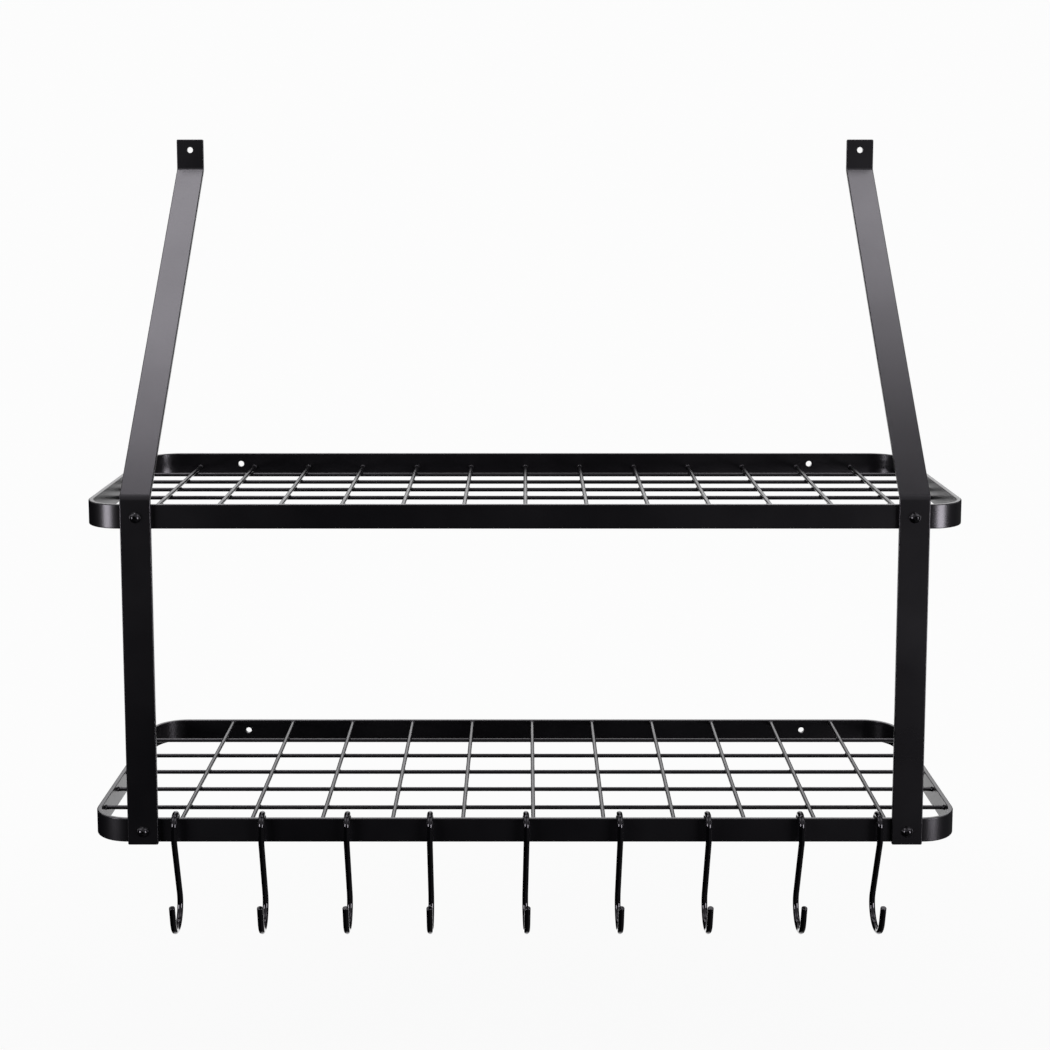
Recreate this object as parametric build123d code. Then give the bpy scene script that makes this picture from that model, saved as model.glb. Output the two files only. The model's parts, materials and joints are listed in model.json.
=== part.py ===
from build123d import *
import math
import os

# Two-tier wall mounted pot rack: two wire shelves in flat-bar rims, two bent
# wall straps, and loose hooks on the lower front bar. Millimetres, +Z up.
# The wall is the plane Y = 0, the room is towards -Y, and +X is to the right
# as seen from the room. The origin is midway between the two top screw holes.

# Shelf rims: flat bar on edge, bent to a rounded rectangle
shelf_width = 914.4
shelf_depth = 355.6
rim_height = 25.4
rim_thickness = 4.8
rim_corner_radius = 40.0
rim_edge_round = 1.0
shelf_spacing = 334.2        # from the top of one rim to the top of the other

# Shelf wires: long wires run left to right, cross wires lie on top of them
wire_diameter = 4.5
upper_long_count = 6
upper_long_front_margin = 51.0    # inner face of the rim to the first wire's middle
upper_long_rear_margin = 28.5
upper_cross_count = 13
upper_cross_left_margin = 56.6    # inner face of the rim to the first wire's middle
upper_cross_right_margin = 55.7
upper_grid_lift = 1.7             # long wires above the rim's lower edge
lower_long_count = 5
lower_long_front_margin = 52.0
lower_long_rear_margin = 56.6
lower_cross_count = 11
lower_cross_left_margin = 91.0
lower_cross_right_margin = 73.6
lower_grid_drop = 1.0             # cross wires below the rim's upper edge
weld_gap = 0.05                   # between crossing wires, where the weld bead is

# Wall straps: flat bar with a short tab on the wall, a slope and a drop
strap_width = 31.75
strap_thickness = 4.8
strap_corner_gap = 1.0            # strap's outer edge to the start of the rim's corner
strap_bend_radius = 4.5           # inside of each bend
strap_edge_round = 1.0
strap_end_round = 1.6
strap_tail = 1.5                  # below the lower rim
tab_above_hole = 12.5
tab_below_hole = 23.8
shelf_below_hole = 366.5          # top screw holes down to the upper rim's top edge
slope_foot_lift = 7.5             # front bend above the upper rim's top edge

# Screw holes for the wall, and the screws that hold the straps to the rims
wall_hole_diameter = 7.0
upper_hole_spacing = 692.0
lower_hole_spacing = 685.0
screw_diameter = 6.0
screw_clearance = 0.05            # all round, in strap and rim
screw_head_diameter = 12.0
screw_head_height = 4.5
screw_socket_across = 4.0
screw_socket_depth = 2.2          # below the top of the dome
screw_end_inset = 0.3             # screw's end inside the rim's inner face
screw_chamfer = 0.5

# Pot hooks: round wire bent to an S, seated over the lower front bar
hook_wire = 6.35
hook_crown_radius = 10.5
hook_back_leg = 6.0
hook_front_leg = 14.0
hook_bend_radius = 12.0
hook_lean = 22.5                  # shank's lean backwards, in degrees
hook_shank = 68.3
hook_bowl_radius = 23.0
hook_tip_lean = 16.0              # tip's lean forwards, in degrees
hook_tip = 19.4
hook_end_round = 0.8
hook_seat_gap = 0.3
hook_strap_gap = 5.0              # outermost hook to a strap, at the closest
hook_wire_gap = 0.5               # hook to the end of a cross wire, at the closest
# Where each hook hangs, from the left strap (-1) to the right strap (+1)
hook_stations = (-0.971, -0.734, -0.496, -0.265, 0.003, 0.264, 0.510, 0.769, 0.986)
# How far each hook has turned on the bar, in degrees
hook_turns = (1.1, 1.5, 0.2, 0.7, 2.9, 1.7, 1.8, 1.7, 2.5)

# Places that follow from the sizes above
rim_front_y = -shelf_depth
rim_middle_y = -shelf_depth / 2
upper_rim_top = -shelf_below_hole
lower_rim_top = upper_rim_top - shelf_spacing
rim_inner_x = shelf_width / 2 - rim_thickness
rim_inner_front_y = rim_front_y + rim_thickness
rim_inner_rear_y = -rim_thickness
strap_x = shelf_width / 2 - rim_corner_radius - strap_corner_gap - strap_width / 2
strap_face_y = rim_front_y - strap_thickness
screw_drop = rim_height / 2
screw_bore = screw_diameter + 2 * screw_clearance
wire_radius = wire_diameter / 2
wire_layer = wire_diameter + weld_gap


def screw_heights():
    return (upper_rim_top - screw_drop, lower_rim_top - screw_drop)


def drill_y(x, y, z, diameter, depth):
    """A round cutter along Y, centred on x, y, z."""
    return Pos(x, y, z) * Rot(X=90) * Cylinder(diameter / 2, depth)


def rim_outline(inset):
    """The rim's plan, drawn in from its outside by inset."""
    width = shelf_width - 2 * inset
    depth = shelf_depth - 2 * inset
    return RectangleRounded(width, depth, rim_corner_radius - inset)


def rim(top, hole_spacing):
    """A closed flat-bar rim, with two wall holes behind and two screw holes in front."""
    place = Pos(0, rim_middle_y, top - rim_height)
    band = extrude(rim_outline(0) - rim_outline(rim_thickness), rim_height)
    edges = band.edges().group_by(Axis.Z)
    band = place * fillet(edges[0] + edges[-1], rim_edge_round)
    cut = 2 * rim_thickness
    hole_z = top - screw_drop
    for side in (-1, 1):
        wall_x = side * hole_spacing / 2
        band -= drill_y(wall_x, -rim_thickness / 2, hole_z, wall_hole_diameter, cut)
        screw_y = rim_front_y + rim_thickness / 2
        band -= drill_y(side * strap_x, screw_y, hole_z, screw_bore, cut)
    return band


def inside_of_rim(top):
    """The space that a rim encloses, from its inner face."""
    prism = extrude(rim_outline(rim_thickness), rim_height)
    return Pos(0, rim_middle_y, top - rim_height) * prism


def even_places(first, last, count):
    step = (last - first) / (count - 1)
    return [first + step * i for i in range(count)]


def cross_wire_places(left_margin, right_margin, count):
    """Where cross wires run, from left to right."""
    return even_places(left_margin - rim_inner_x, rim_inner_x - right_margin, count)


def long_wires(top, wire_z, front_margin, rear_margin, count):
    """Wires from left to right, front one first, trimmed to the rim's inner face."""
    first = rim_inner_front_y + front_margin
    last = rim_inner_rear_y - rear_margin
    space = inside_of_rim(top)
    wires = []
    for y in even_places(first, last, count):
        bar = Pos(0, y, wire_z) * Rot(Y=90) * Cylinder(wire_radius, shelf_width)
        wires.append(bar & space)
    return wires


def cross_wires(top, wire_z, left_margin, right_margin, count):
    """Wires from front to back, left one first, trimmed to the rim's inner face."""
    space = inside_of_rim(top)
    wires = []
    for x in cross_wire_places(left_margin, right_margin, count):
        bar = Pos(x, rim_middle_y, wire_z) * Rot(X=90) * Cylinder(wire_radius, shelf_depth)
        wires.append(bar & space)
    return wires


def strap_path():
    """The strap's middle line, from the top of the tab to the tail."""
    wall_y = -strap_thickness / 2
    front_y = rim_front_y - strap_thickness / 2
    points = [
        (0, wall_y, tab_above_hole),
        (0, wall_y, -tab_below_hole),
        (0, front_y, upper_rim_top + slope_foot_lift),
        (0, front_y, lower_rim_top - rim_height - strap_tail),
    ]
    return FilletPolyline(*points, radius=strap_bend_radius + strap_thickness / 2)


def strap(side):
    """A bent wall strap; side is -1 for the left one and 1 for the right one."""
    path = strap_path()
    start = Plane(origin=path @ 0, x_dir=(1, 0, 0), z_dir=path % 0)
    bar = sweep(start * Rectangle(strap_width, strap_thickness), path=path)
    narrow_sides = bar.faces().filter_by(Axis.X)
    corners = narrow_sides.edges().filter_by(Axis.Y)
    bar = fillet(corners, strap_end_round)
    long_edges = bar.faces().filter_by(Axis.X).edges()
    bar = fillet(long_edges.filter_by(Axis.Y, reverse=True), strap_edge_round)
    bar = Pos(side * strap_x, 0, 0) * bar
    cut = 2 * strap_thickness
    bar -= drill_y(side * strap_x, -strap_thickness / 2, 0, wall_hole_diameter, cut)
    for z in screw_heights():
        y = rim_front_y - strap_thickness / 2
        bar -= drill_y(side * strap_x, y, z, screw_bore, cut)
    return bar


def strap_screw():
    """A dome head screw along Y, its head's seat at the origin and its head towards -Y."""
    shank_radius = screw_diameter / 2
    length = strap_thickness + rim_thickness - screw_end_inset
    dome_top = (0, screw_head_height)
    dome_rim = (screw_head_diameter / 2, 0)
    outline = Polyline(dome_top, (0, -length), (shank_radius - screw_chamfer, -length),
                       (shank_radius, screw_chamfer - length), (shank_radius, 0), dome_rim)
    outline += TangentArc(dome_top, dome_rim, tangent=(1, 0))
    screw = revolve(Plane.XZ * make_face(outline), axis=Axis.Z)
    socket = RegularPolygon(screw_socket_across / 2, 6, major_radius=False)
    screw -= Pos(0, 0, screw_head_height) * extrude(socket, -screw_socket_depth)
    return Rot(X=90) * screw


def strap_screws():
    """The four screws that hold the straps to the rims."""
    screws = []
    for side in (-1, 1):
        for z in screw_heights():
            screws.append(Pos(side * strap_x, strap_face_y, z) * strap_screw())
    return Compound(children=screws)


def hook_crown_height():
    """The crown's centre over the bar's top, when the hook rests on the bar's rounded edges."""
    reach = hook_crown_radius - hook_wire / 2 - rim_edge_round
    half_flat = rim_thickness / 2 - rim_edge_round
    return hook_seat_gap - rim_edge_round - math.sqrt(reach ** 2 - half_flat ** 2)


def hook_path():
    """The hook's middle line: X is forwards of the bar, Y is up from the bar's top edge."""
    crown_y = hook_crown_height()
    back_leg = Line((-hook_crown_radius, crown_y - hook_back_leg), (-hook_crown_radius, crown_y))
    crown = JernArc(back_leg @ 1, back_leg % 1, hook_crown_radius, -180)
    front_leg = Line(crown @ 1, crown @ 1 - Vector(0, hook_front_leg))
    bend = JernArc(front_leg @ 1, front_leg % 1, hook_bend_radius, -hook_lean)
    shank = Line(bend @ 1, bend @ 1 + (bend % 1) * hook_shank)
    bowl = JernArc(shank @ 1, shank % 1, hook_bowl_radius, 180 + hook_lean - hook_tip_lean)
    tip = Line(bowl @ 1, bowl @ 1 + (bowl % 1) * hook_tip)
    return back_leg + crown + front_leg + bend + shank + bowl + tip


def hook_places():
    """Where the hooks hang: at their stations, moved sideways where a cross wire ends."""
    reach = strap_x - strap_width / 2 - hook_strap_gap - hook_wire / 2
    keep = wire_radius + hook_wire / 2 + hook_wire_gap
    wires = cross_wire_places(lower_cross_left_margin, lower_cross_right_margin, lower_cross_count)
    places = []
    for station in hook_stations:
        x = station * reach
        nearest = min(wires, key=lambda wire_x: abs(wire_x - x))
        if abs(nearest - x) < keep:
            x = nearest + math.copysign(keep, x - nearest)
        places.append(x)
    return places


def pot_hook(x, turn):
    """A hook on the lower front bar at x, turned about the vertical."""
    path = hook_path()
    start = Plane(origin=path @ 0, z_dir=path % 0)
    hook = sweep(start * Circle(hook_wire / 2), path=path)
    ends = hook.faces().filter_by(GeomType.PLANE).edges()
    hook = fillet(ends, hook_end_round)
    upright = Plane(origin=(0, 0, 0), x_dir=(0, -1, 0), z_dir=(-1, 0, 0))
    bar_y = rim_front_y + rim_thickness / 2
    return Pos(x, bar_y, lower_rim_top) * Rot(Z=turn) * (upright * hook)


def build():
    upper_long_z = upper_rim_top - rim_height + upper_grid_lift + wire_radius
    upper_cross_z = upper_long_z + wire_layer
    lower_cross_z = lower_rim_top - lower_grid_drop - wire_radius
    lower_long_z = lower_cross_z - wire_layer
    nodes = {
        "upper_rim": rim(upper_rim_top, upper_hole_spacing),
        "lower_rim": rim(lower_rim_top, lower_hole_spacing),
        "left_strap": strap(-1),
        "right_strap": strap(1),
        "strap_screws": strap_screws(),
    }
    groups = {
        "upper_long_wire": long_wires(upper_rim_top, upper_long_z, upper_long_front_margin,
                                      upper_long_rear_margin, upper_long_count),
        "upper_cross_wire": cross_wires(upper_rim_top, upper_cross_z, upper_cross_left_margin,
                                        upper_cross_right_margin, upper_cross_count),
        "lower_long_wire": long_wires(lower_rim_top, lower_long_z, lower_long_front_margin,
                                      lower_long_rear_margin, lower_long_count),
        "lower_cross_wire": cross_wires(lower_rim_top, lower_cross_z, lower_cross_left_margin,
                                        lower_cross_right_margin, lower_cross_count),
        "pot_hook": [pot_hook(x, turn) for x, turn in zip(hook_places(), hook_turns)],
    }
    for name, solids in groups.items():
        for number, solid in enumerate(solids, 1):
            nodes[f"{name}_{number}"] = solid
    return nodes


os.makedirs("parts", exist_ok=True)
for node_name, shape in build().items():
    shape.label = node_name
    export_step(shape, f"parts/{node_name}.step")
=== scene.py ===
import json
import math
import bmesh
import bpy
from mathutils import Matrix, Vector


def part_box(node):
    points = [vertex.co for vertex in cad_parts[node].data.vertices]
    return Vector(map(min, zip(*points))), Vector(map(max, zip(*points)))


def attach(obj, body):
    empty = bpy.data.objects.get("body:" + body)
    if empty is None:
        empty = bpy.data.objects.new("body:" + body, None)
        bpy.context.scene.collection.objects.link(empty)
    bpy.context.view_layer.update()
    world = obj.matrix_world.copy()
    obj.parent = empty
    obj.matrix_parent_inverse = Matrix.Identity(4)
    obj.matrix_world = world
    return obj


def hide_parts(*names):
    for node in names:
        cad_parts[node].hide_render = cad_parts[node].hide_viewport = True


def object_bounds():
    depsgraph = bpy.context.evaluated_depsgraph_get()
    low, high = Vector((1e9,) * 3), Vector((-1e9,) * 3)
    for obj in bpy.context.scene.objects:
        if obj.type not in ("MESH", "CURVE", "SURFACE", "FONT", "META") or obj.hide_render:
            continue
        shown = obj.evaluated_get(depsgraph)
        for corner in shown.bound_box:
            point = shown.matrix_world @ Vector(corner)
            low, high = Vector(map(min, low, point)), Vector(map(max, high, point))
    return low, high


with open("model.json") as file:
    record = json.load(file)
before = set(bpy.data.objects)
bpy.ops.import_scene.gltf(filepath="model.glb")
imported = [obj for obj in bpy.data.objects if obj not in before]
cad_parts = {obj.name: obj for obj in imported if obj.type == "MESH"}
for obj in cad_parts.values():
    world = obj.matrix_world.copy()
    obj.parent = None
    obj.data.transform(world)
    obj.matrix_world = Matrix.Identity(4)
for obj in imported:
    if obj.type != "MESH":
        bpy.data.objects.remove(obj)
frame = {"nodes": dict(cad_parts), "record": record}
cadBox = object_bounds()
scene = bpy.context.scene
print("stage: frame loaded,", len(frame["nodes"]), "nodes")

# Sizes are in metres and angles in degrees. +X is right, +Y is into the wall, +Z is up.

cameraView = {
    "place": (0.0, -2.2125, -0.0326),
    "pitchDown": 6.732,
    "lens": 62.813,          # lens and sensor in millimetres
    "sensor": 36.0,
    "shiftDown": 0.125,      # a share of the frame's width; the rest of the framing is pitchDown
    "farthest": 50.0,
}


def makeCamera(v):
    turned = Matrix.Rotation(math.radians(90 - v["pitchDown"]), 4, "X")
    data = bpy.data.cameras.new("photoCamera")
    data.lens = v["lens"]
    data.sensor_width = v["sensor"]
    data.shift_y = -v["shiftDown"]
    data.clip_end = v["farthest"]
    camera = bpy.data.objects.new("photoCamera", data)
    camera.matrix_world = Matrix.Translation(v["place"]) @ turned
    scene.collection.objects.link(camera)
    scene.camera = camera


makeCamera(cameraView)
print("stage: camera set")


# Materials

powderCoat = {
    "black": (0.0022, 0.0020, 0.0027, 1),
    "worn": (0.0036, 0.0034, 0.0042, 1),
    "roughLow": 0.27,
    "roughHigh": 0.32,
    "ior": 1.6,
    "sheenTint": (0.95, 0.90, 1.0, 1),
    "peelScale": 420.0,
    "grainScale": 2600.0,
    "cloudScale": 9.0,
    "peelHeight": 0.000012,
    "grainHeight": 0.000003,
    "cloudDetail": 3.0,
    "fineDetail": 2.0,
    "noiseRoughness": 0.55,
    "toneSpan": (0.35, 0.65),    # the cloud noise from black to worn
    "glossSpan": (0.3, 0.7),     # the cloud noise from roughLow to roughHigh
}

# The rims and straps have powderCoat, the wires wirePaint, the hooks glossBlack, the screws screwBlack
wirePaint = dict(powderCoat, roughLow=0.26, roughHigh=0.32, cloudScale=14.0)

glossBlack = dict(powderCoat, roughLow=0.05, roughHigh=0.08, black=(0.0016, 0.0015, 0.0020, 1),
                  worn=(0.0026, 0.0025, 0.0031, 1), peelScale=260.0, peelHeight=0.000004,
                  grainHeight=0.000001)

screwBlack = dict(glossBlack, roughLow=0.14, roughHigh=0.20)


def addNode(tree, kind, **sockets):
    # a socket's name is written with _ for a space
    node = tree.nodes.new(kind)
    for key, value in sockets.items():
        node.inputs[key.replace("_", " ")].default_value = value
    return node


def noiseAt(tree, coords, scale, detail, roughness):
    noise = addNode(tree, "ShaderNodeTexNoise", Scale=scale, Detail=detail, Roughness=roughness)
    tree.links.new(coords.outputs["Object"], noise.inputs["Vector"])
    return noise


def rangeOf(tree, source, span, low, high):
    ranged = addNode(tree, "ShaderNodeMapRange", From_Min=span[0], From_Max=span[1], To_Min=low,
                     To_Max=high)
    tree.links.new(source, ranged.inputs["Value"])
    return ranged.outputs["Result"]


def bumpOf(tree, noise, height, below=None):
    bump = addNode(tree, "ShaderNodeBump", Strength=1.0, Distance=height)
    tree.links.new(noise.outputs["Fac"], bump.inputs["Height"])
    if below:
        tree.links.new(below.outputs["Normal"], bump.inputs["Normal"])
    return bump


def blackPaint(name, v):
    material = bpy.data.materials.new(name)
    material.use_nodes = True
    tree = material.node_tree
    tree.nodes.clear()
    output = tree.nodes.new("ShaderNodeOutputMaterial")
    shader = addNode(tree, "ShaderNodeBsdfPrincipled", IOR=v["ior"], Specular_Tint=v["sheenTint"])
    tree.links.new(shader.outputs["BSDF"], output.inputs["Surface"])
    coords = tree.nodes.new("ShaderNodeTexCoord")
    cloud = noiseAt(tree, coords, v["cloudScale"], v["cloudDetail"], v["noiseRoughness"])
    peel = noiseAt(tree, coords, v["peelScale"], v["fineDetail"], v["noiseRoughness"])
    grain = noiseAt(tree, coords, v["grainScale"], v["fineDetail"], v["noiseRoughness"])
    tone = tree.nodes.new("ShaderNodeValToRGB")
    colours = (v["black"], v["worn"])
    for stop, place, colour in zip(tone.color_ramp.elements, v["toneSpan"], colours):
        stop.position = place
        stop.color = colour
    tree.links.new(cloud.outputs["Fac"], tone.inputs["Fac"])
    tree.links.new(tone.outputs["Color"], shader.inputs["Base Color"])
    gloss = rangeOf(tree, cloud.outputs["Fac"], v["glossSpan"], v["roughLow"], v["roughHigh"])
    tree.links.new(gloss, shader.inputs["Roughness"])
    bump = bumpOf(tree, grain, v["grainHeight"], bumpOf(tree, peel, v["peelHeight"]))
    tree.links.new(bump.outputs["Normal"], shader.inputs["Normal"])
    return material


rimMaterial = blackPaint("rimPowderCoat", powderCoat)
strapMaterial = blackPaint("strapPowderCoat", powderCoat)
wireMaterial = blackPaint("wirePowderCoat", wirePaint)
hookMaterial = blackPaint("hookGlossBlack", glossBlack)
screwMaterial = blackPaint("screwBlack", screwBlack)
print("stage: materials made")


# Bench tools: what turns a bmesh into a finished piece

bench = {
    "mergeDistance": 1e-7,
    "holeSides": 40,
    "sharpAngle": 40.0,
    "faceWeight": 100,       # how much large flat faces steer the shading
    "samePlace": 1e-5,       # the last three pick out edges
    "sameSide": 1e-6,
    "outlineAngle": 60.0,
}


def vertsOf(geom):
    return [g for g in geom if isinstance(g, bmesh.types.BMVert)]


def edgesOf(geom):
    return [g for g in geom if isinstance(g, bmesh.types.BMEdge)]


def bendBar(bm, ring, place, heading, axis, moves):
    # carries an edge ring along runs, given as lengths, and bends, given as (angle, radius, steps)
    place = Vector(place)
    heading = Vector(heading)
    axis = Vector(axis)
    for move in moves:
        if isinstance(move, float):
            drawn = bmesh.ops.extrude_edge_only(bm, edges=ring)["geom"]
            bmesh.ops.translate(bm, vec=heading * move, verts=vertsOf(drawn))
            place = place + heading * move
            moved = set(vertsOf(drawn))
            ring = [e for e in edgesOf(drawn) if set(e.verts) <= moved]
            continue
        angle, radius, steps = math.radians(move[0]), move[1], move[2]
        centre = place + axis.cross(heading) * math.copysign(radius, angle)
        start = list(dict.fromkeys(v for e in ring for v in e.verts)) + ring
        spun = bmesh.ops.spin(bm, geom=start, cent=centre, axis=axis, angle=angle, steps=steps)
        ring = edgesOf(spun["geom_last"])
        turn = Matrix.Rotation(angle, 3, axis)
        heading = turn @ heading
        place = centre + turn @ (place - centre)
    return ring


def closeEnds(bm):
    rims = [e for e in bm.edges if e.is_boundary]
    bmesh.ops.holes_fill(bm, edges=rims, sides=0)


def roundEdges(bm, edges, size, segments):
    bmesh.ops.bevel(bm, geom=edges, offset=size, offset_type="OFFSET", segments=segments,
                    profile=0.5, affect="EDGES", clamp_overlap=False, material=-1)


def makePiece(name, bm, material, sharpAngle=bench["sharpAngle"]):
    bmesh.ops.remove_doubles(bm, verts=bm.verts, dist=bench["mergeDistance"])
    bmesh.ops.recalc_face_normals(bm, faces=bm.faces)
    mesh = bpy.data.meshes.new(name)
    bm.to_mesh(mesh)
    bm.free()
    piece = bpy.data.objects.new(name, mesh)
    scene.collection.objects.link(piece)
    mesh.materials.append(material)
    piece["sharpAngle"] = sharpAngle
    return piece


def applyModifiers(piece):
    bpy.context.view_layer.update()
    ready = piece.evaluated_get(bpy.context.evaluated_depsgraph_get())
    mesh = bpy.data.meshes.new_from_object(ready)
    piece.modifiers.clear()
    piece.data = mesh


def cutWith(piece, cutter):
    hole = piece.modifiers.new("holes", "BOOLEAN")
    hole.operation = "DIFFERENCE"
    hole.solver = "EXACT"
    hole.object = cutter
    applyModifiers(piece)
    bpy.data.objects.remove(cutter)


def shadePiece(piece):
    mesh = piece.data
    mesh.shade_smooth()
    mesh.set_sharp_from_angle(angle=math.radians(piece["sharpAngle"]))
    even = piece.modifiers.new("evenNormals", "WEIGHTED_NORMAL")
    even.keep_sharp = True
    even.weight = bench["faceWeight"]
    applyModifiers(piece)


def finishPiece(piece, node, body):
    shadePiece(piece)
    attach(piece, body)
    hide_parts(node)


def drillAlongY(name, places, radius, near, far, flare):
    # one cutter for round holes through a bar between the planes y = near and y = far
    sides = bench["holeSides"]
    outline = ((near - flare, radius + 2 * flare), (near + flare, radius),
               (far - flare, radius), (far + flare, radius + 2 * flare))
    bm = bmesh.new()
    for x, z in places:
        rings = []
        for y, r in outline:
            facing = Matrix.Translation((x, y, z)) @ Matrix.Rotation(math.radians(90), 4, "X")
            made = bmesh.ops.create_circle(bm, cap_ends=False, radius=r, segments=sides, matrix=facing)
            rings.append(list(dict.fromkeys(e for v in made["verts"] for e in v.link_edges)))
        for first, second in zip(rings, rings[1:]):
            bmesh.ops.bridge_loops(bm, edges=first + second)
    closeEnds(bm)
    return makePiece(name, bm, rimMaterial)


# Rims

rimShape = {
    "cornerRadius": 0.040,
    "thickness": 0.0048,
    "edgeRound": 0.001,
    "edgeSteps": 5,
    "cornerSteps": 28,
    "wallHole": 0.0035,
    "screwHole": 0.00305,
    "holeFlare": 0.0003,
}

rackHoles = {m["name"]: m for m in frame["record"]["mounts"]}


def holeSpread(mountName):
    # how far each hole of a pair is from the middle, and its height
    mount = rackHoles[mountName]
    spacing = mount["dims"]["spacing_x_mm"] / 1000
    return spacing / 2, mount["pos_m"][2]


def makeRim(name, node, mountName, v):
    low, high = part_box(node)
    t = v["thickness"]
    bm = bmesh.new()
    corners = ((low.y, low.z), (low.y + t, low.z), (low.y + t, high.z), (low.y, high.z))
    section = bm.faces.new([bm.verts.new((0, y, z)) for y, z in corners])
    bmesh.ops.bevel(bm, geom=section.verts[:], offset=v["edgeRound"], offset_type="OFFSET",
                    segments=v["edgeSteps"], profile=0.5, affect="VERTICES", material=-1)
    ring = bm.edges[:]
    bmesh.ops.delete(bm, geom=bm.faces[:], context="FACES_ONLY")
    corner = (90.0, v["cornerRadius"] - t / 2, v["cornerSteps"])
    half = high.x - v["cornerRadius"]
    deep = high.y - low.y - 2 * v["cornerRadius"]
    moves = (half, corner, deep, corner, 2 * half, corner, deep, corner, half)
    bendBar(bm, ring, (0, low.y + t / 2, (low.z + high.z) / 2), (1, 0, 0), (0, 0, 1), moves)
    rim = makePiece(name, bm, rimMaterial)
    x, z = holeSpread(mountName)
    wallHoles = [(-x, z), (x, z)]
    cutWith(rim, drillAlongY("wallHoleCutter", wallHoles, v["wallHole"], high.y - t, high.y,
                             v["holeFlare"]))
    strapX = holeSpread("strap_tab_holes")[0]
    screwHoles = [(-strapX, z), (strapX, z)]
    cutWith(rim, drillAlongY("screwHoleCutter", screwHoles, v["screwHole"], low.y, low.y + t,
                             v["holeFlare"]))
    finishPiece(rim, node, "rack")


makeRim("upperRim", "upper_rim", "upper_wall_holes", rimShape)
makeRim("lowerRim", "lower_rim", "lower_wall_holes", rimShape)
print("stage: rims made")


# Shelf wires, with the weld beads where they cross and where they meet the rim

wireShape = {
    "sides": 20,
    "beadWide": 0.0026,
    "beadHigh": 0.0011,
    "beadSides": 12,
    "beadRings": 8,
    "collarWide": 0.0032,
    "collarLong": 0.0012,
    "collarSink": 0.0001,
}


def addRod(bm, start, end, radius, sides):
    run = end - start
    facing = run.to_track_quat("Z", "Y").to_matrix().to_4x4()
    place = Matrix.Translation((start + end) / 2) @ facing
    bmesh.ops.create_cone(bm, cap_ends=True, segments=sides, radius1=radius, radius2=radius,
                          depth=run.length, matrix=place)


def addCollar(bm, foot, direction, radius, v):
    facing = direction.to_track_quat("Z", "Y").to_matrix().to_4x4()
    middle = foot + direction * (v["collarLong"] / 2 - v["collarSink"])
    bmesh.ops.create_cone(bm, cap_ends=True, segments=v["sides"], radius1=v["collarWide"],
                          radius2=radius, depth=v["collarLong"],
                          matrix=Matrix.Translation(middle) @ facing)


def addBead(bm, place, v):
    size = Matrix.Diagonal((v["beadWide"], v["beadWide"], v["beadHigh"], 1))
    bmesh.ops.create_uvsphere(bm, u_segments=v["beadSides"], v_segments=v["beadRings"], radius=1,
                              matrix=Matrix.Translation(place) @ size)


def wireLine(node, along):
    # a wire's two ends and its radius; along is 0 for a wire along X and 1 for one along Y
    low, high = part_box(node)
    middle = (low + high) / 2
    start = middle.copy()
    end = middle.copy()
    start[along] = low[along]
    end[along] = high[along]
    radius = (high.z - low.z) / 2
    return start, end, radius


def makeWire(name, node, along, crossings, v):
    start, end, radius = wireLine(node, along)
    direction = (end - start).normalized()
    bm = bmesh.new()
    addRod(bm, start, end, radius, v["sides"])
    addCollar(bm, start, direction, radius, v)
    addCollar(bm, end, -direction, radius, v)
    for place in crossings:
        addBead(bm, place, v)
    wire = makePiece(name, bm, wireMaterial)
    finishPiece(wire, node, "rack")


def makeGrid(tier, v):
    longNodes = sorted(n for n in frame["nodes"] if n.startswith(tier + "_long_wire"))
    crossNodes = sorted(n for n in frame["nodes"] if n.startswith(tier + "_cross_wire"))
    for node in longNodes:
        makeWire(tier + "LongWire_" + node.split("_")[-1], node, 0, (), v)
    for node in crossNodes:
        start, _, radius = wireLine(node, 1)
        crossings = []
        for other in longNodes:
            y = wireLine(other, 0)[0].y
            crossings.append(Vector((start.x, y, start.z - radius)))
        makeWire(tier + "CrossWire_" + node.split("_")[-1], node, 1, crossings, v)


makeGrid("upper", wireShape)
makeGrid("lower", wireShape)
print("stage: wires made")


# Wall straps

strapShape = {
    "thickness": 0.0048,
    "tabBelowHole": 0.0238,
    "slopeFootLift": 0.0075,
    "bendRadius": 0.0069,    # of the bar's middle line
    "bendSteps": 16,
    "cornerRound": 0.0016,
    "cornerSteps": 6,
    "edgeRound": 0.001,
    "edgeSteps": 4,
    "tabHole": 0.0035,
    "screwHole": 0.00305,
    "holeFlare": 0.0003,
}


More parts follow.
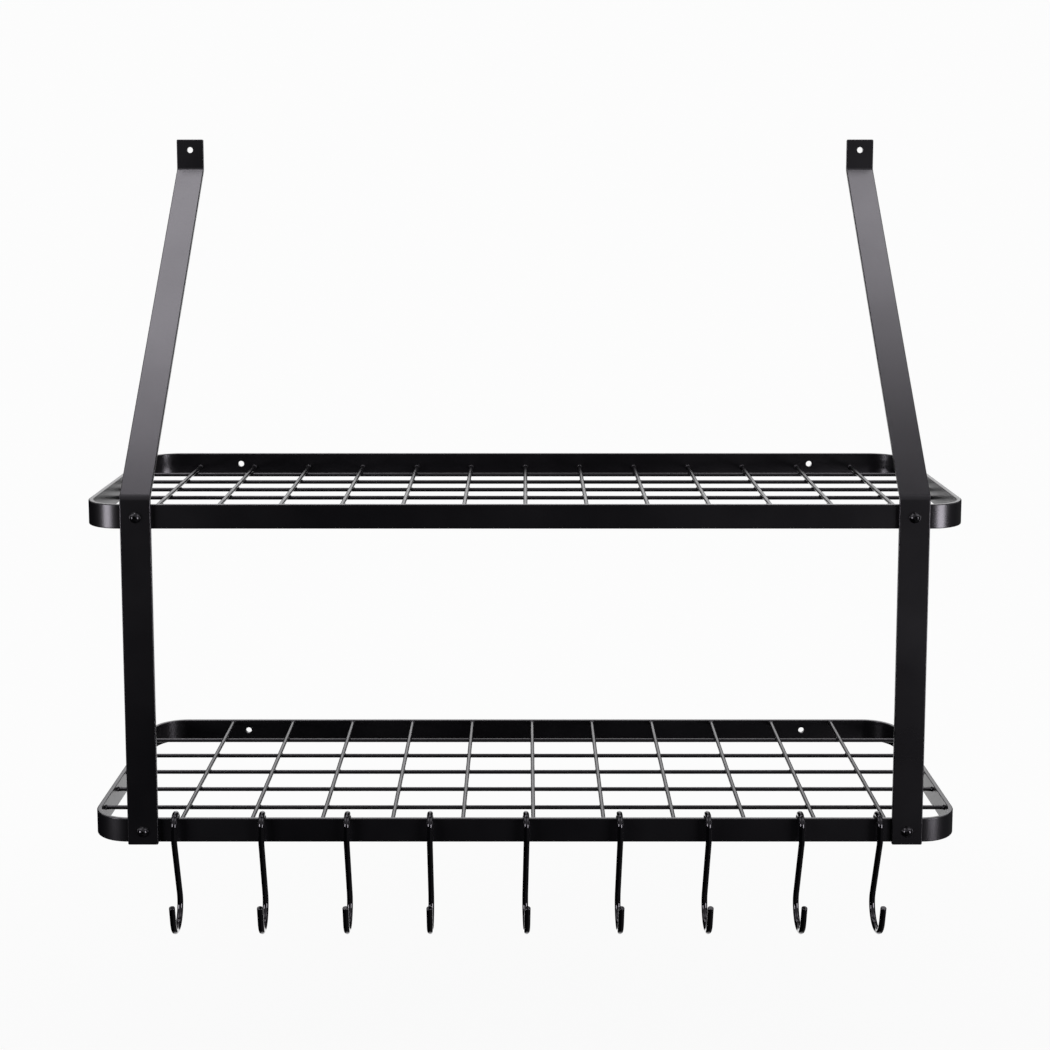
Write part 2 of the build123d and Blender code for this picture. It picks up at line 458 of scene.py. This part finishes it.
def makeStrap(name, node, v):
    # the wall hole in the strap's tab is at height 0
    low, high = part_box(node)
    t = v["thickness"]
    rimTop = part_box("upper_rim")[1].z
    points = [Vector((0, high.y - t / 2, high.z)),
              Vector((0, high.y - t / 2, -v["tabBelowHole"])),
              Vector((0, low.y + t / 2, rimTop + v["slopeFootLift"])),
              Vector((0, low.y + t / 2, low.z))]
    runs = [b - a for a, b in zip(points, points[1:])]
    angle = math.degrees(runs[0].angle(runs[1]))
    tangent = v["bendRadius"] * math.tan(math.radians(angle / 2))
    bend = (v["bendRadius"], v["bendSteps"])
    moves = (runs[0].length - tangent, (-angle,) + bend, runs[1].length - 2 * tangent,
             (angle,) + bend, runs[2].length - tangent)
    bm = bmesh.new()
    corners = ((low.x, high.y), (high.x, high.y), (high.x, high.y - t), (low.x, high.y - t))
    section = bm.faces.new([bm.verts.new((x, y, high.z)) for x, y in corners])
    ring = bm.edges[:]
    bmesh.ops.delete(bm, geom=[section], context="FACES_ONLY")
    bendBar(bm, ring, points[0], (0, 0, -1), (1, 0, 0), moves)
    closeEnds(bm)
    ends = [e for e in bm.edges if isEndCorner(e, low.z, high.z)]
    roundEdges(bm, ends, v["cornerRound"], v["cornerSteps"])
    bmesh.ops.recalc_face_normals(bm, faces=bm.faces)
    outline = [e for e in bm.edges if isOutline(e)]
    roundEdges(bm, outline, v["edgeRound"], v["edgeSteps"])
    strap = makePiece(name, bm, strapMaterial)
    middle = (low.x + high.x) / 2
    cutWith(strap, drillAlongY("tabHoleCutter", [(middle, 0)], v["tabHole"], high.y - t, high.y,
                               v["holeFlare"]))
    heights = [holeSpread(m)[1] for m in ("upper_wall_holes", "lower_wall_holes")]
    cutWith(strap, drillAlongY("strapScrewCutter", [(middle, z) for z in heights],
                               v["screwHole"], low.y, low.y + t, v["holeFlare"]))
    finishPiece(strap, node, "rack")


def isEndCorner(edge, bottom, top):
    # a short edge across the bar's thickness, at the tab's top or the tail's bottom
    a, b = (v.co for v in edge.verts)
    atEnd = min(abs(a.z - bottom), abs(a.z - top)) < bench["samePlace"]
    return atEnd and max(abs(a.x - b.x), abs(a.z - b.z)) < bench["sameSide"]


def isOutline(edge):
    # an edge between a broad side of the bar and its narrow rim
    return edge.calc_face_angle(0) > math.radians(bench["outlineAngle"])


for side in ("left", "right"):
    makeStrap(side + "Strap", side + "_strap", strapShape)
print("stage: straps made")


# Strap screws

screwShape = {
    "headRadius": 0.006,
    "headHeight": 0.0045,
    "rimRound": 0.0002,
    "domeSteps": 18,
    "sides": 48,
    "sharpAngle": 30.0,
    "socketSides": 6,
    "socketAcross": 0.004,
    "socketDepth": 0.0022,
    "shankRadius": 0.003,
    "shankLength": 0.0093,
    "shankChamfer": 0.0005,
    "turns": (12.0, 41.0, 27.0, 5.0),    # how far each screw was turned when it was tight
}


def screwOutline(v):
    # from the top of the dome, over its rim and down to the shank's end
    domeRadius = (v["headRadius"] ** 2 + v["headHeight"] ** 2) / (2 * v["headHeight"])
    domeAngle = math.asin(v["headRadius"] / domeRadius)
    points = []
    for i in range(v["domeSteps"]):
        a = domeAngle * i / v["domeSteps"]
        points.append((domeRadius * math.sin(a), v["headHeight"] - domeRadius * (1 - math.cos(a))))
    points += [(v["headRadius"], v["rimRound"]), (v["headRadius"] - v["rimRound"], 0),
               (v["shankRadius"], 0), (v["shankRadius"], v["shankChamfer"] - v["shankLength"]),
               (v["shankRadius"] - v["shankChamfer"], -v["shankLength"]), (0, -v["shankLength"])]
    return points


def makeScrew(v):
    bm = bmesh.new()
    verts = [bm.verts.new((r, 0, h)) for r, h in screwOutline(v)]
    edges = [bm.edges.new(pair) for pair in zip(verts, verts[1:])]
    bmesh.ops.spin(bm, geom=verts + edges, cent=(0, 0, 0), axis=(0, 0, 1),
                   angle=math.radians(360), steps=v["sides"], use_merge=True)
    screw = makePiece("oneScrew", bm, screwMaterial, v["sharpAngle"])
    bm = bmesh.new()
    depth = 2 * v["socketDepth"]
    corner = v["socketAcross"] / 2 / math.cos(math.pi / v["socketSides"])
    bmesh.ops.create_cone(bm, cap_ends=True, segments=v["socketSides"], radius1=corner,
                          radius2=corner, depth=depth,
                          matrix=Matrix.Translation((0, 0, v["headHeight"])))
    cutWith(screw, makePiece("socketCutter", bm, screwMaterial))
    return screw


def makeScrews(v):
    screw = makeScrew(v)
    strapX = holeSpread("strap_tab_holes")[0]
    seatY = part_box("left_strap")[0].y
    heights = [holeSpread(m)[1] for m in ("upper_wall_holes", "lower_wall_holes")]
    places = [(x, z) for x in (-strapX, strapX) for z in heights]
    bm = bmesh.new()
    for (x, z), turn in zip(places, v["turns"]):
        before = len(bm.verts)
        bm.from_mesh(screw.data)
        bm.verts.ensure_lookup_table()
        fresh = bm.verts[before:]
        spin = Matrix.Rotation(math.radians(turn), 4, "Z")
        facing = Matrix.Rotation(math.radians(90), 4, "X")
        bmesh.ops.transform(bm, matrix=Matrix.Translation((x, seatY, z)) @ facing @ spin, verts=fresh)
    bpy.data.objects.remove(screw)
    screws = makePiece("strapScrews", bm, screwMaterial, v["sharpAngle"])
    finishPiece(screws, "strap_screws", "rack")


makeScrews(screwShape)
print("stage: screws made")


# Pot hooks

hookShape = {
    "wire": 0.00635,
    "crownRadius": 0.0105,
    "crownSteps": 26,
    "backLeg": 0.006,
    "frontLeg": 0.014,
    "bendRadius": 0.012,
    "bendSteps": 8,
    "lean": 22.5,
    "shank": 0.0683,
    "bowlRadius": 0.023,
    "bowlSteps": 44,
    "tipLean": 16.0,
    "tip": 0.0194,
    "endRound": 0.0008,
    "endSteps": 4,
    "sides": 28,
}


def hookLine(v):
    # the moves from the end of the back leg to the front tip
    crown = (180.0, v["crownRadius"], v["crownSteps"])
    bend = (v["lean"], v["bendRadius"], v["bendSteps"])
    bowl = (v["tipLean"] - v["lean"] - 180.0, v["bowlRadius"], v["bowlSteps"])
    return v["backLeg"], crown, v["frontLeg"], bend, v["shank"], bowl, v["tip"]


def hookReach(v):
    # how far the wire's middle line goes behind and in front of the bar
    lean = math.radians(v["lean"])
    tipLean = math.radians(v["tipLean"])
    shankEnd = v["crownRadius"] - v["bendRadius"] * (1 - math.cos(lean)) - v["shank"] * math.sin(lean)
    centre = shankEnd + v["bowlRadius"] * math.cos(lean)
    tipEnd = centre + v["bowlRadius"] * math.cos(tipLean) + v["tip"] * math.sin(tipLean)
    return v["bowlRadius"] - centre, tipEnd


def makeHook(number, v):
    node = "pot_hook_" + str(number)
    low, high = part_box(node)
    rimLow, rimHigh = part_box("lower_rim")
    radius = v["wire"] / 2
    back, front = hookReach(v)
    turn = math.asin((high.x - low.x - v["wire"]) / (back + front))
    x = low.x + radius + back * math.sin(turn)
    crownDrop = rimHigh.z - (high.z - v["crownRadius"] - radius)
    startZ = -crownDrop - v["backLeg"]
    bm = bmesh.new()
    start = Vector((0, v["crownRadius"], startZ))
    bmesh.ops.create_circle(bm, cap_ends=False, radius=radius, segments=v["sides"],
                            matrix=Matrix.Translation(start))
    bendBar(bm, bm.edges[:], start, (0, 0, 1), (1, 0, 0), hookLine(v))
    rims = [e for e in bm.edges if e.is_boundary]
    closeEnds(bm)
    roundEdges(bm, rims, v["endRound"], v["endSteps"])
    barY = rimLow.y + rimShape["thickness"] / 2
    seat = Matrix.Translation((x, barY, rimHigh.z)) @ Matrix.Rotation(turn, 4, "Z")
    bmesh.ops.transform(bm, matrix=seat, verts=bm.verts)
    hook = makePiece("potHook_" + str(number), bm, hookMaterial)
    finishPiece(hook, node, "hook_" + str(number))


hookCount = sum(node.startswith("pot_hook_") for node in frame["nodes"])
for hookNumber in range(1, hookCount + 1):
    makeHook(hookNumber, hookShape)
print("stage: hooks made")


# Floor, lamps and surroundings

studio = {
    "floorDrop": 0.45,
    "floorWide": 6.0,
    "floorFront": -3.0,
    "floorBack": 3.0,
    "floorColour": (0.86, 0.86, 0.86, 1),
    "shadowShare": 0.06,           # how matt the floor is below the rack
    "shadowFrom": 0.5,             # from here outwards the matt share fades out
    "shadowTo": 1.5,
    "backdrop": 0.975,             # how white the camera sees the floor and the surroundings
    # The rest is what the paint mirrors. Each span is over one axis of the mirrored direction.
    "leftGlow": 0.0,
    "rightGlow": 0.08,
    "rightStart": (0.08, 0.20),    # X
    "levelGlow": 0.45,             # in front, above eye level
    "levelStart": (0.05, 0.22),    # Z
    "frontStart": (-0.1, -0.3),    # Y
    "backGlow": 1.9,               # behind the rack
    "backEdge": (0.24, 0.30),      # X, either way
    "backStart": (0.2, 0.6),       # Y
}


def mathNode(tree, operation, *sources):
    node = tree.nodes.new("ShaderNodeMath")
    node.operation = operation
    for socket, source in zip(node.inputs, sources):
        if isinstance(source, float):
            socket.default_value = source
        else:
            tree.links.new(source, socket)
    return node.outputs["Value"]


def stageFloor(v):
    # seen by the camera alone: a matt share that takes the shadow and fades out around the rack
    bm = bmesh.new()
    middle = Matrix.Translation((0, (v["floorFront"] + v["floorBack"]) / 2, cadBox[0][2] - v["floorDrop"]))
    shape = Matrix.Diagonal((v["floorWide"] / 2, (v["floorBack"] - v["floorFront"]) / 2, 1, 1))
    bmesh.ops.create_grid(bm, x_segments=1, y_segments=1, size=1, matrix=middle @ shape)
    material = bpy.data.materials.new("paleFloor")
    material.use_nodes = True
    tree = material.node_tree
    tree.nodes.clear()
    output = tree.nodes.new("ShaderNodeOutputMaterial")
    matt = addNode(tree, "ShaderNodeBsdfDiffuse", Color=v["floorColour"])
    glow = addNode(tree, "ShaderNodeEmission", Strength=v["backdrop"])
    coords = tree.nodes.new("ShaderNodeTexCoord")
    split = tree.nodes.new("ShaderNodeSeparateXYZ")
    tree.links.new(coords.outputs["Object"], split.inputs["Vector"])
    across = mathNode(tree, "POWER", split.outputs["X"], 2.0)
    along = mathNode(tree, "POWER", split.outputs["Y"], 2.0)
    away = mathNode(tree, "SQRT", mathNode(tree, "ADD", across, along))
    span = (v["shadowFrom"], v["shadowTo"])
    mixed = tree.nodes.new("ShaderNodeMixShader")
    tree.links.new(rangeOf(tree, away, span, 1.0 - v["shadowShare"], 1.0), mixed.inputs["Fac"])
    tree.links.new(matt.outputs["BSDF"], mixed.inputs[1])
    tree.links.new(glow.outputs["Emission"], mixed.inputs[2])
    seen = tree.nodes.new("ShaderNodeLightPath")
    clear = tree.nodes.new("ShaderNodeBsdfTransparent")
    shown = tree.nodes.new("ShaderNodeMixShader")
    tree.links.new(seen.outputs["Is Camera Ray"], shown.inputs["Fac"])
    tree.links.new(clear.outputs["BSDF"], shown.inputs[1])
    tree.links.new(mixed.outputs["Shader"], shown.inputs[2])
    tree.links.new(shown.outputs["Shader"], output.inputs["Surface"])
    makePiece("floor", bm, material)


def surroundings(v):
    # pale behind the rack, dimmer above eye level in front and on the right, and dark elsewhere;
    # the camera sees white
    world = bpy.data.worlds.new("studioWorld")
    scene.world = world
    world.use_nodes = True
    tree = world.node_tree
    tree.nodes.clear()
    output = tree.nodes.new("ShaderNodeOutputWorld")
    coords = tree.nodes.new("ShaderNodeTexCoord")
    split = tree.nodes.new("ShaderNodeSeparateXYZ")
    tree.links.new(coords.outputs["Generated"], split.inputs["Vector"])
    sideways = mathNode(tree, "ABSOLUTE", split.outputs["X"])
    inside = rangeOf(tree, sideways, v["backEdge"], 1.0, 0.0)
    behind = rangeOf(tree, split.outputs["Y"], v["backStart"], 0.0, v["backGlow"])
    dim = rangeOf(tree, split.outputs["X"], v["rightStart"], v["leftGlow"], v["rightGlow"])
    inFront = rangeOf(tree, split.outputs["Y"], v["frontStart"], 0.0, v["levelGlow"])
    level = rangeOf(tree, split.outputs["Z"], v["levelStart"], 0.0, 1.0)
    frontGlow = mathNode(tree, "ADD", dim, mathNode(tree, "MULTIPLY", inFront, level))
    glow = mathNode(tree, "ADD", frontGlow, mathNode(tree, "MULTIPLY", inside, behind))
    room = tree.nodes.new("ShaderNodeBackground")
    tree.links.new(glow, room.inputs["Strength"])
    white = addNode(tree, "ShaderNodeBackground", Strength=v["backdrop"])
    white.inputs["Color"].default_value = (1, 1, 1, 1)
    seen = tree.nodes.new("ShaderNodeLightPath")
    mixed = tree.nodes.new("ShaderNodeMixShader")
    tree.links.new(seen.outputs["Is Camera Ray"], mixed.inputs["Fac"])
    tree.links.new(room.outputs["Background"], mixed.inputs[1])
    tree.links.new(white.outputs["Background"], mixed.inputs[2])
    tree.links.new(mixed.outputs["Shader"], output.inputs["Surface"])


rackMiddle = (0.0, -0.2, -0.40)

# Soft boxes, with their power in watts
lamps = {
    "leftTop": {"place": (-0.73, -0.05, 1.3), "aim": (-0.73, -0.05, 0.0), "wide": 0.55, "high": 0.80,
                "power": 7.5},
    "rightTop": {"place": (0.73, 0.05, 1.3), "aim": (0.73, 0.05, 0.0), "wide": 0.55, "high": 0.60,
                 "power": 4.7},
    "leftFront": {"place": (-0.73, -1.0, 1.3), "aim": (-0.73, -1.0, 0.0), "wide": 0.55, "high": 1.1,
                  "power": 0.9},
    "rightFront": {"place": (0.73, -0.9, 1.3), "aim": (0.73, -0.9, 0.0), "wide": 0.55, "high": 1.3,
                   "power": 0.35},
    "leftSky": {"place": (-1.7, -1.1, 1.2), "aim": rackMiddle, "wide": 1.4, "high": 1.2, "power": 6.0},
    "rightSky": {"place": (1.7, -1.1, 1.2), "aim": rackMiddle, "wide": 1.4, "high": 1.2, "power": 6.0},
    "leftSide": {"place": (-2.2, 0.0, 0.45), "aim": rackMiddle, "wide": 1.4, "high": 0.8, "power": 5.0},
    "rightSide": {"place": (2.2, 0.0, 0.45), "aim": rackMiddle, "wide": 1.4, "high": 0.8, "power": 5.0},
    "leftBox": {"place": (-2.16, -1.73, -0.60), "aim": (-0.44, -0.34, -0.45), "wide": 0.9, "high": 0.72,
                "power": 23.5},
    "rightBox": {"place": (2.0, -1.9, -0.79), "aim": (0.44, -0.34, -0.50), "wide": 0.95, "high": 0.95,
                 "power": 29.5},
}


def softBox(name, v):
    data = bpy.data.lights.new(name, "AREA")
    data.shape = "RECTANGLE"
    data.size = v["wide"]
    data.size_y = v["high"]
    data.energy = v["power"]
    lamp = bpy.data.objects.new(name, data)
    place = Vector(v["place"])
    aim = Vector(v["aim"]) - place
    lamp.matrix_world = Matrix.Translation(place) @ aim.to_track_quat("-Z", "Y").to_matrix().to_4x4()
    scene.collection.objects.link(lamp)


stageFloor(studio)
surroundings(studio)
for lampName, lampValues in lamps.items():
    softBox(lampName, lampValues)
scene.view_settings.view_transform = "Standard"
print("stage: studio lit")
